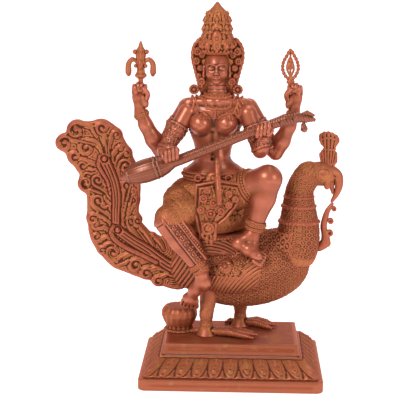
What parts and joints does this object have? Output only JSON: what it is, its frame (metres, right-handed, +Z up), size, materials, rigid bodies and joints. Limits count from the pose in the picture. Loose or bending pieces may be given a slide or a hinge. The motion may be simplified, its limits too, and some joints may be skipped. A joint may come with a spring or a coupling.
{
  "type": "seated figure statue",
  "caption": "Reddish-brown bronze figure with a lute seated on a standing peacock, on a stepped lotus pedestal; the figure lifts off its saddle.",
  "frame": {"origin": "centre of the pedestal's underside, on the surface it stands on", "axes": "+Z up, -Y is the front that the figure faces, +X runs from the peacock's tail to its head"},
  "size_m": [0.459, 0.236, 0.5976],
  "materials": {
    "skin_bronze": "polished dark reddish-brown patina",
    "ornament_bronze": "chased relief with lighter high points",
    "bird_bronze": "chased feather relief, reddish-brown patina",
    "pedestal_bronze": "satin patina with ochre traces in the recesses",
    "bare_bronze": "bare cast bronze",
    "steel_fixings": "plain zinc-plated steel"
  },
  "bodies": {
    "peacock_base": {"leg_studs": "steel_fixings", "stud_nuts": "steel_fixings", "stud_washers": "steel_fixings", "pedestal_top_block": "pedestal_bronze", "pedestal_lotus_band": "pedestal_bronze", "pedestal_slab": "pedestal_bronze", "lotus_footrest": "pedestal_bronze", "neck_dowel": "bare_bronze", "tail_rivets": "bare_bronze", "peacock_body": "bird_bronze", "saddle_cushion": "bird_bronze", "saddle_cloth": "bird_bronze", "near_wing": "bird_bronze", "far_wing": "bird_bronze", "near_leg": "bird_bronze", "far_leg": "bird_bronze", "tail_plume": "bird_bronze", "peacock_neck": "bird_bronze", "neck_collars": "bird_bronze", "peacock_head": "bird_bronze", "peacock_crest": "bird_bronze", "breast_garland": "bird_bronze"},
    "seated_figure": {"seat_tenon": "bare_bronze", "head_pins": "bare_bronze", "torso": "skin_bronze", "lap_skirt": "ornament_bronze", "lute_neck": "ornament_bronze", "lute_gourd": "ornament_bronze", "lute_pegbox": "ornament_bronze", "pendant_thigh": "ornament_bronze", "pendant_shin": "skin_bronze", "pendant_foot": "skin_bronze", "raised_thigh": "ornament_bronze", "raised_shin": "skin_bronze", "raised_foot": "skin_bronze", "anklets": "ornament_bronze", "front_sash": "ornament_bronze", "girdle": "ornament_bronze", "right_rear_upper_arm": "skin_bronze", "right_rear_forearm": "skin_bronze", "right_front_arm": "skin_bronze", "left_rear_upper_arm": "skin_bronze", "left_rear_forearm": "skin_bronze", "left_front_arm": "skin_bronze", "armlets": "ornament_bronze", "bracelets": "ornament_bronze", "right_rear_hand": "skin_bronze", "right_front_hand": "skin_bronze", "left_rear_hand": "skin_bronze", "left_front_hand": "skin_bronze", "hand_emblem": "ornament_bronze", "rosary_loop": "ornament_bronze", "neck": "skin_bronze", "head": "skin_bronze", "crown_diadem": "ornament_bronze", "crown_tiers": "ornament_bronze", "earrings": "ornament_bronze", "shoulder_rosettes": "ornament_bronze", "hair": "ornament_bronze", "necklace": "ornament_bronze"}
  },
  "joints": [
    {"name": "figure_lift", "type": "slide", "parent": "peacock_base", "child": "seated_figure", "axis": [0, 0, 1], "range_m": [0, 0.04]}
  ]
}
